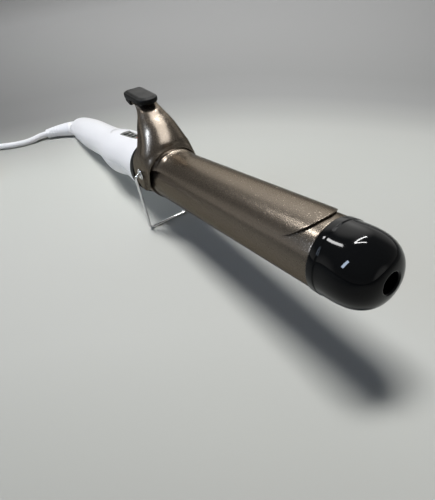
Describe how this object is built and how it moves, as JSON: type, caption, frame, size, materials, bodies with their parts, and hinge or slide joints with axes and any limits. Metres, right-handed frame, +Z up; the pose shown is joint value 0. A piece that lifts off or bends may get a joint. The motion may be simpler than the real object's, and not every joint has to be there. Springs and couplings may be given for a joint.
{
  "type": "curling wand",
  "caption": "Spring-clip curling wand: straight metal barrel with a domed tip, hinged clip with thumb rest, folding wire stand, white handle with buttons, and a swivel cord with plug.",
  "frame": {"origin": "on the surface the wand lies on, under the middle of the wand without its cord", "axes": "+Z up, +X towards the wand's tip, +Y to the left seen from behind the handle"},
  "size_m": [0.4177, 0.2192, 0.0983],
  "materials": {
    "barrel_metal": "satin champagne metallic coat with a fine sparkle",
    "clip_metal": "polished champagne metallic coat",
    "bracket_metal": "satin dark coat",
    "core_metal": "plain extruded",
    "black_gloss": "heat-proof glossy black",
    "black_satin": "satin black moulding",
    "white_gloss": "glossy white moulding",
    "panel_grey": "satin dark grey inlay",
    "button_grey": "satin grey cap",
    "lens_red": "clear red light guide",
    "board_green": "lacquered circuit board",
    "switch_black": "small black switch body",
    "ceramic": "pale high-temperature insulator",
    "heater": "flat heating element sleeve",
    "lead_white": "silicone sleeve",
    "wire_chrome": "bright plated wire",
    "steel": "zinc-plated",
    "cord_white": "satin white jacket",
    "tie_black": "black wire tie",
    "blade_brass": "bright plated blade"
  },
  "bodies": {
    "iron": {"barrel_tube": "barrel_metal", "core_upper": "core_metal", "core_lower": "core_metal", "heating_plate": "heater", "lead_live": "lead_white", "lead_neutral": "lead_white", "tip_cap": "black_gloss", "tip_insulator": "ceramic", "tip_screw": "steel", "rear_holder": "ceramic", "heat_collar": "black_satin", "hinge_bracket": "bracket_metal", "pivot_eyelet_left": "wire_chrome", "pivot_eyelet_right": "wire_chrome", "handle_upper": "white_gloss", "handle_lower": "white_gloss", "handle_screw_front": "steel", "handle_screw_rear": "steel", "control_panel": "panel_grey", "panel_tail": "white_gloss", "indicator_lens": "lens_red", "circuit_board": "board_green", "power_switch": "switch_black", "plus_switch": "switch_black", "minus_switch": "switch_black", "contact_holder": "black_satin"},
    "clip": {"clip": "clip_metal", "thumb_rest": "black_satin", "thumb_rest_screw": "steel", "spring_pin": "steel", "clip_spring": "steel"},
    "stand": {"stand_wire": "wire_chrome"},
    "power_key": {"power_button": "button_grey"},
    "plus_key": {"plus_button": "button_grey"},
    "minus_key": {"minus_button": "button_grey"},
    "cord": {"cord_swivel": "white_gloss", "strain_relief": "cord_white", "cord_lead": "cord_white", "cord_coil": "cord_white", "cord_tail": "cord_white", "cord_tie": "tie_black", "plug_body": "cord_white", "plug_blade_left": "blade_brass", "plug_blade_right": "blade_brass"}
  },
  "joints": [
    {"name": "clip_hinge", "type": "hinge", "parent": "iron", "child": "clip", "pos_m": [0.02315, 0, 0.05394], "axis": [0, -1, 0], "range_deg": [0, 25], "stiffness_Nm_per_rad": 0.7, "springref_deg": -17.19, "deforming": ["clip_spring"]},
    {"name": "stand_hinge", "type": "hinge", "parent": "iron", "child": "stand", "pos_m": [0.02315, 0, 0.05394], "axis": [0, -1, 0], "range_deg": [0, 86]},
    {"name": "power_press", "type": "slide", "parent": "iron", "child": "power_key", "axis": [0.1927, 0, -0.9812], "range_m": [0, 0.0006], "stiffness_N_per_m": 1500, "springref_m": -0.0002},
    {"name": "plus_press", "type": "slide", "parent": "iron", "child": "plus_key", "axis": [0.1927, 0, -0.9812], "range_m": [0, 0.0006], "stiffness_N_per_m": 1500, "springref_m": -0.0002},
    {"name": "minus_press", "type": "slide", "parent": "iron", "child": "minus_key", "axis": [0.1927, 0, -0.9812], "range_m": [0, 0.0006], "stiffness_N_per_m": 1500, "springref_m": -0.0002},
    {"name": "cord_swivel_turn", "type": "hinge", "parent": "iron", "child": "cord", "pos_m": [-0.18381, 0, 0.0087], "axis": [0.9812, 0, 0.1927], "continuous": true}
  ]
}
